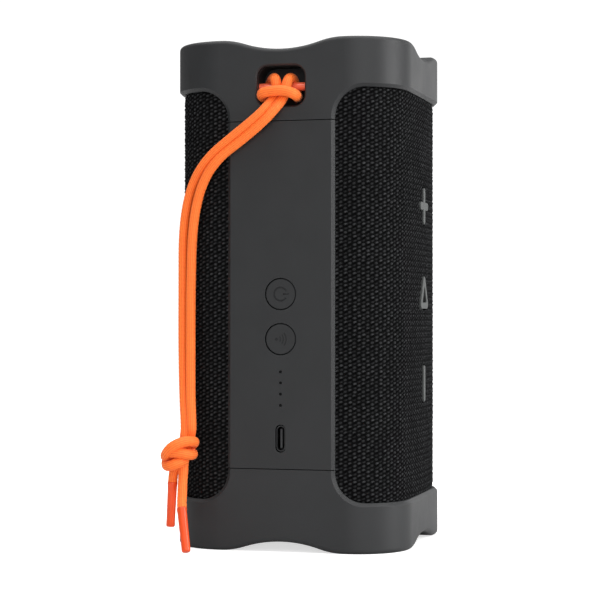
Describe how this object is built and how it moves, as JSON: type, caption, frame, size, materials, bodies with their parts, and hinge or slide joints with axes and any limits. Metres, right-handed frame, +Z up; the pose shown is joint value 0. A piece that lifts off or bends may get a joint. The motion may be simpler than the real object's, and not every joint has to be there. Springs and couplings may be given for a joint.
{
  "type": "portable bluetooth speaker",
  "caption": "Upright rounded-square portable speaker with wave-edged end caps, a knit fabric sleeve, a control spine and a knotted wrist lanyard.",
  "frame": {"origin": "middle of the lower end cap's resting face", "axes": "+Z up along the speaker, the control spine faces -Y, the volume keys face +X, the drivers fire towards +Y"},
  "size_m": [0.0844, 0.1039, 0.178],
  "materials": {
    "cap_plastic": "soft-touch charcoal",
    "spine_plastic": "satin charcoal",
    "button_rubber": "satin charcoal",
    "key_plastic": "mid grey",
    "light_pipe": "milky white",
    "sleeve_fabric": "black knit",
    "core_plastic": "black",
    "bar_metal": "gloss orange",
    "cord_fabric": "orange braid",
    "aglet_plastic": "gloss orange-red",
    "screw_steel": "zinc plated",
    "seal_rubber": "black",
    "surround_rubber": "black",
    "radiator_metal": "black anodised",
    "frame_plastic": "black",
    "board": "green solder mask",
    "board_parts": "black",
    "dome_metal": "bright",
    "basket_metal": "plain",
    "magnet": "dark",
    "cone_paper": "black paper",
    "battery_wrap": "blue shrink film"
  },
  "bodies": {
    "housing": {"bottom_end_cap": "cap_plastic", "top_end_cap": "cap_plastic", "spine_panel": "spine_plastic", "button_keymat": "button_rubber", "led_light_pipe": "light_pipe", "fabric_sleeve": "sleeve_fabric", "grille_core": "core_plastic", "front_chassis": "core_plastic", "rear_chassis": "core_plastic", "bottom_end_plate": "core_plastic", "top_end_plate": "core_plastic", "battery_tray": "core_plastic", "lanyard_bar": "bar_metal", "lanyard_hitch": "cord_fabric", "lanyard_knot": "cord_fabric", "lanyard_left_strand": "cord_fabric", "lanyard_right_strand": "cord_fabric", "lanyard_left_tail": "cord_fabric", "lanyard_right_tail": "cord_fabric", "left_aglet": "aglet_plastic", "right_aglet": "aglet_plastic", "end_plate_screws": "screw_steel", "chassis_screws": "screw_steel", "driver_screws": "screw_steel", "usb_c_shell": "screw_steel", "usb_c_seal": "seal_rubber", "chassis_gasket": "seal_rubber", "lower_driver_gasket": "seal_rubber", "upper_driver_gasket": "seal_rubber", "bottom_radiator_surround": "surround_rubber", "top_radiator_surround": "surround_rubber", "lower_driver_surround": "surround_rubber", "upper_driver_surround": "surround_rubber", "bottom_radiator_frame": "frame_plastic", "top_radiator_frame": "frame_plastic", "control_board": "board", "main_board": "board", "side_key_board": "board", "tact_switches": "board_parts", "main_board_parts": "board_parts", "usb_c_tongue": "board_parts", "side_key_domes": "dome_metal", "lower_driver_basket": "basket_metal", "upper_driver_basket": "basket_metal", "lower_driver_magnet": "magnet", "upper_driver_magnet": "magnet", "battery_cells": "battery_wrap"},
    "power_button": {"power_button": "button_rubber"},
    "pairing_button": {"pairing_button": "button_rubber"},
    "plus_key": {"plus_key": "key_plastic"},
    "play_key": {"play_key": "key_plastic"},
    "minus_key": {"minus_key": "key_plastic"},
    "top_radiator": {"top_radiator_plate": "radiator_metal", "top_radiator_weight": "radiator_metal"},
    "bottom_radiator": {"bottom_radiator_plate": "radiator_metal", "bottom_radiator_weight": "radiator_metal"},
    "upper_driver": {"upper_driver_cone": "cone_paper", "upper_dust_cap": "cone_paper"},
    "lower_driver": {"lower_driver_cone": "cone_paper", "lower_dust_cap": "cone_paper"}
  },
  "joints": [
    {"name": "power_press", "type": "slide", "parent": "housing", "child": "power_button", "axis": [0, 1, 0], "range_m": [0, 0.0006], "stiffness_N_per_m": 900},
    {"name": "pairing_press", "type": "slide", "parent": "housing", "child": "pairing_button", "axis": [0, 1, 0], "range_m": [0, 0.0006], "stiffness_N_per_m": 900},
    {"name": "plus_press", "type": "slide", "parent": "housing", "child": "plus_key", "axis": [-1, 0, 0], "range_m": [0, 0.0005], "stiffness_N_per_m": 900},
    {"name": "play_press", "type": "slide", "parent": "housing", "child": "play_key", "axis": [-1, 0, 0], "range_m": [0, 0.0005], "stiffness_N_per_m": 900},
    {"name": "minus_press", "type": "slide", "parent": "housing", "child": "minus_key", "axis": [-1, 0, 0], "range_m": [0, 0.0005], "stiffness_N_per_m": 900},
    {"name": "top_radiator_stroke", "type": "slide", "parent": "housing", "child": "top_radiator", "axis": [0, 0, 1], "range_m": [-0.0015, 0.0015], "stiffness_N_per_m": 1500, "deforming": ["top_radiator_surround"]},
    {"name": "bottom_radiator_stroke", "type": "slide", "parent": "housing", "child": "bottom_radiator", "axis": [0, 0, -1], "range_m": [-0.0015, 0.0015], "stiffness_N_per_m": 1500, "deforming": ["bottom_radiator_surround"]},
    {"name": "upper_driver_stroke", "type": "slide", "parent": "housing", "child": "upper_driver", "axis": [0, 1, 0], "range_m": [-0.0012, 0.0012], "stiffness_N_per_m": 1500, "deforming": ["upper_driver_surround"]},
    {"name": "lower_driver_stroke", "type": "slide", "parent": "housing", "child": "lower_driver", "axis": [0, 1, 0], "range_m": [-0.0012, 0.0012], "stiffness_N_per_m": 1500, "deforming": ["lower_driver_surround"]}
  ]
}
